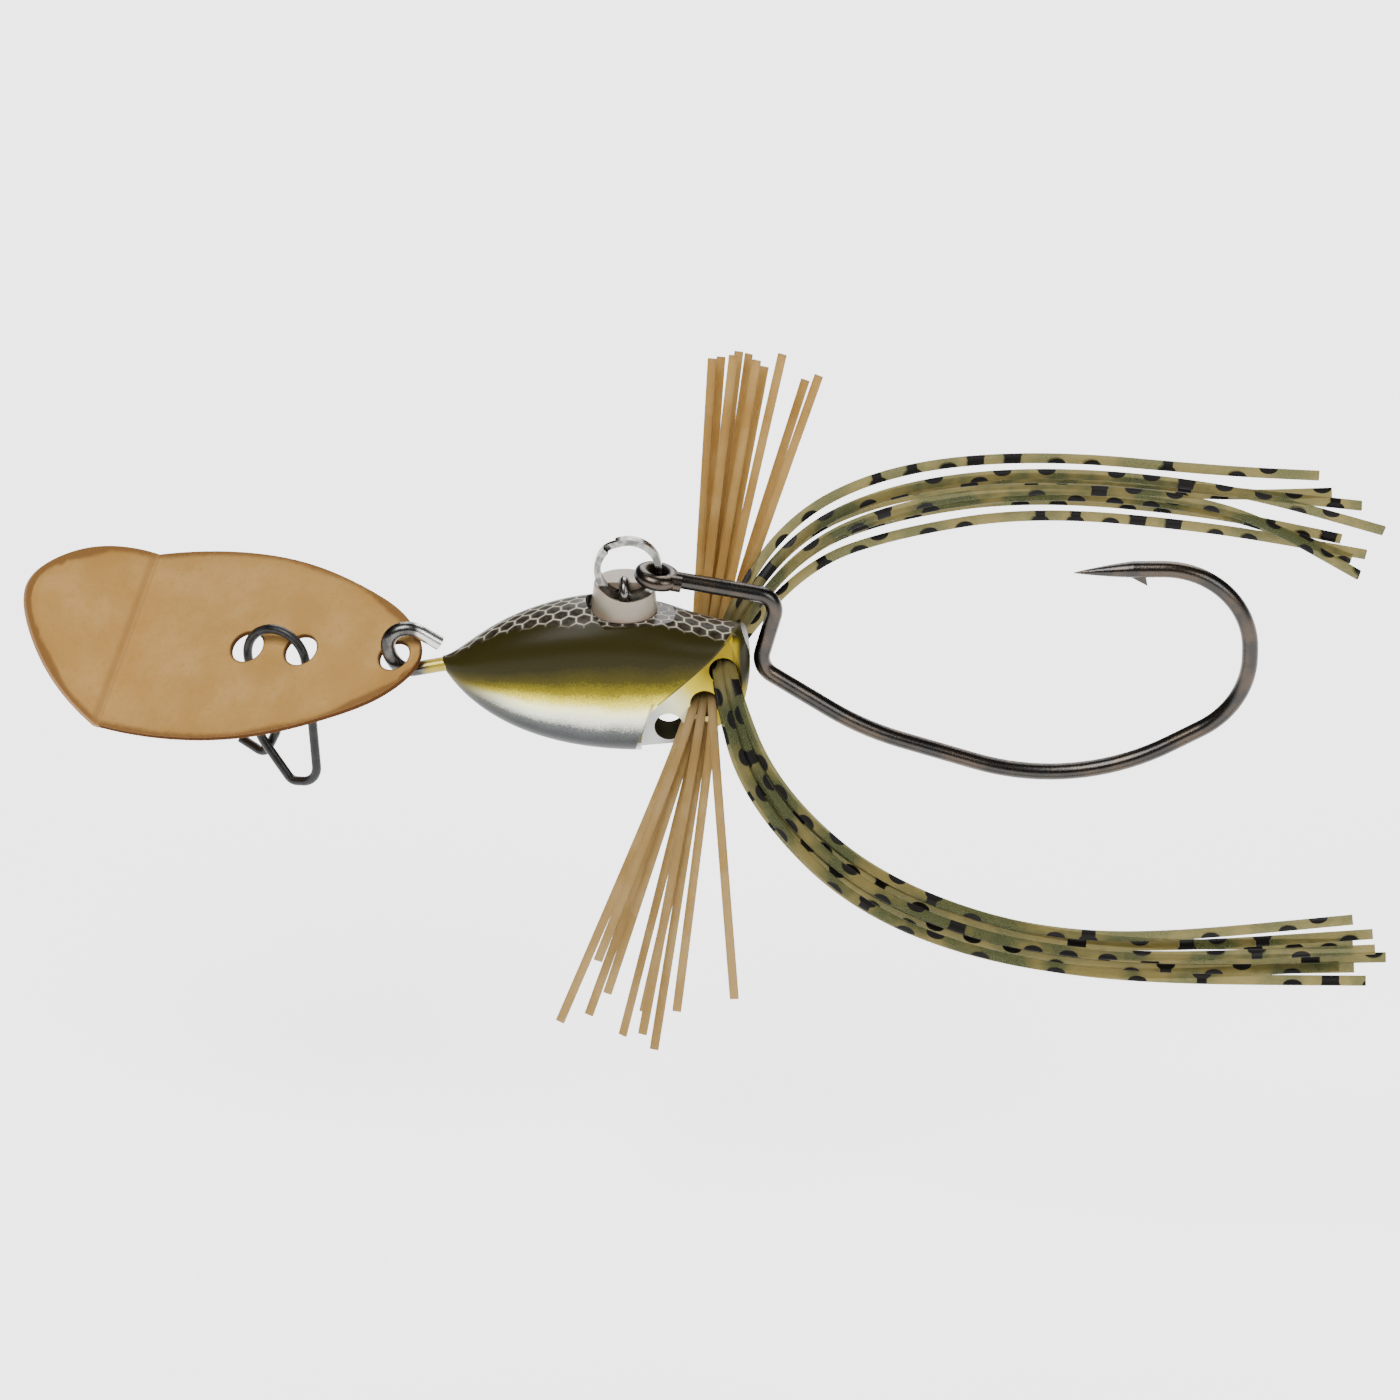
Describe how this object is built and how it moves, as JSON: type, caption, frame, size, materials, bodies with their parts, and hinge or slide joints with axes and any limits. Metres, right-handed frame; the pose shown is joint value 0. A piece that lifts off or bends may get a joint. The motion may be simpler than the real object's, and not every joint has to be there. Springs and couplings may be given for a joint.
{
  "type": "bladed swim jig",
  "caption": "Bladed swim jig fishing lure with a scaled painted head, a swinging brass blade on a wire snap, a free-swinging hook on a split ring and a soft strand skirt.",
  "frame": {"origin": "centre of the empty rear cross hole in the head's web", "axes": "+X from the blade towards the hook, +Z towards the lure's back, +Y along the cross hole to the lure's far side"},
  "size_m": [0.1236, 0.0399, 0.0606],
  "materials": {
    "scale_paint": "gloss painted with scale foil",
    "plated_wire": "dark plated",
    "hanger_wire": "polished",
    "clear_rubber": "translucent",
    "ring_nickel": "bright nickel",
    "black_nickel": "black nickel",
    "blade_brass": "worn satin",
    "snap_wire": "gloss black",
    "tan_rubber": "translucent",
    "barred_rubber": "translucent with dark bars",
    "olive_rubber": "translucent"
  },
  "bodies": {
    "head": {"head": "scale_paint", "front_eye_wire": "plated_wire", "hook_hanger": "hanger_wire", "stopper": "clear_rubber", "tan_strand_01": "tan_rubber", "tan_strand_02": "tan_rubber", "tan_strand_03": "tan_rubber", "tan_strand_04": "tan_rubber", "tan_strand_05": "tan_rubber", "tan_strand_06": "tan_rubber", "tan_strand_07": "tan_rubber", "tan_strand_08": "tan_rubber", "tan_strand_09": "tan_rubber", "tan_strand_10": "tan_rubber", "olive_strand_01": "barred_rubber", "olive_strand_02": "olive_rubber", "olive_strand_03": "barred_rubber", "olive_strand_04": "olive_rubber", "olive_strand_05": "barred_rubber", "olive_strand_06": "olive_rubber", "olive_strand_07": "barred_rubber", "olive_strand_08": "olive_rubber"},
    "blade": {"blade": "blade_brass"},
    "line_tie_snap": {"line_tie_snap": "snap_wire"},
    "split_ring": {"split_ring": "ring_nickel"},
    "hook": {"hook": "black_nickel"}
  },
  "joints": [
    {"name": "blade_wobble", "type": "hinge", "parent": "head", "child": "blade", "pos_m": [-0.0246, 0, 0.0061], "axis": [-0.3601, -0.4351, 0.8252], "range_deg": [-15, 70]},
    {"name": "snap_swing", "type": "hinge", "parent": "blade", "child": "line_tie_snap", "pos_m": [-0.0246, 0, 0.0061], "axis": [-0.8872, 0.4331, -0.159], "range_deg": [-80, 20]},
    {"name": "hook_lift", "type": "hinge", "parent": "head", "child": "split_ring", "pos_m": [-0.00365, 0, 0.015], "axis": [0, -1, 0], "range_deg": [0, 45]},
    {"name": "hook_swing", "type": "hinge", "parent": "split_ring", "child": "hook", "pos_m": [-0.00102, 0, 0.0142], "axis": [0.2907, 0, 0.9568], "range_deg": [-15, 15]}
  ]
}
